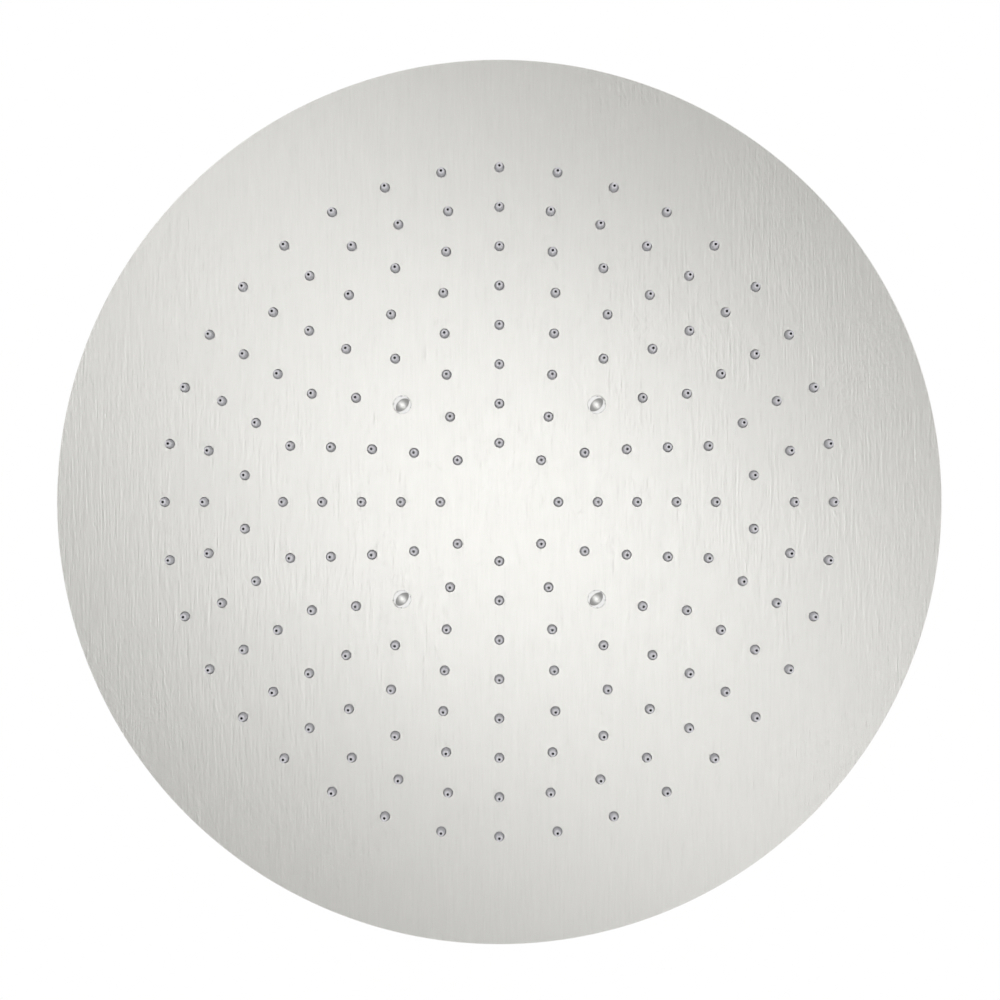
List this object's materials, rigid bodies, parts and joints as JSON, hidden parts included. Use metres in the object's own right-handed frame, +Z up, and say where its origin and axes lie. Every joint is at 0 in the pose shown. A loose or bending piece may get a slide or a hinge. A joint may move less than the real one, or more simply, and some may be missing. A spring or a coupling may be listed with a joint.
{
  "type": "ceiling shower head",
  "caption": "Flat round ceiling shower head: brushed steel spray plate with rings of soft nozzles, domed cap nuts, and a pressed water chamber with a threaded inlet behind it.",
  "frame": {"origin": "middle of the ceiling seat, level with the upper ends of the four pin sleeves", "axes": "+Z up into the ceiling, the spray face looks down along -Z, +Y towards the first nozzle of each ring"},
  "size_m": [0.4499, 0.45, 0.0324],
  "materials": {
    "brushed_face": "fine straight brushing along Y",
    "polished_dome": "mirror polished",
    "silicone": "translucent matt silicone",
    "pressed_steel": "satin cold-rolled sheet",
    "turned_steel": "fine turned",
    "brass": "turned brass",
    "seal": "matt black",
    "fastener": "bright stainless"
  },
  "bodies": {
    "root": {"face_plate": "brushed_face", "nozzle_mat": "silicone", "rear_dish": "pressed_steel", "sleeve_1": "turned_steel", "sleeve_2": "turned_steel", "sleeve_3": "turned_steel", "sleeve_4": "turned_steel", "sleeve_gasket_1": "seal", "sleeve_gasket_2": "seal", "sleeve_gasket_3": "seal", "sleeve_gasket_4": "seal", "sleeve_nuts": "fastener", "cap_nuts": "polished_dome", "inlet_bush": "brass", "inlet_gasket": "seal", "inlet_nut": "brass", "inlet_strainer": "seal", "rim_studs": "fastener", "rim_washers": "fastener", "rim_nuts": "fastener"}
  },
  "joints": []
}
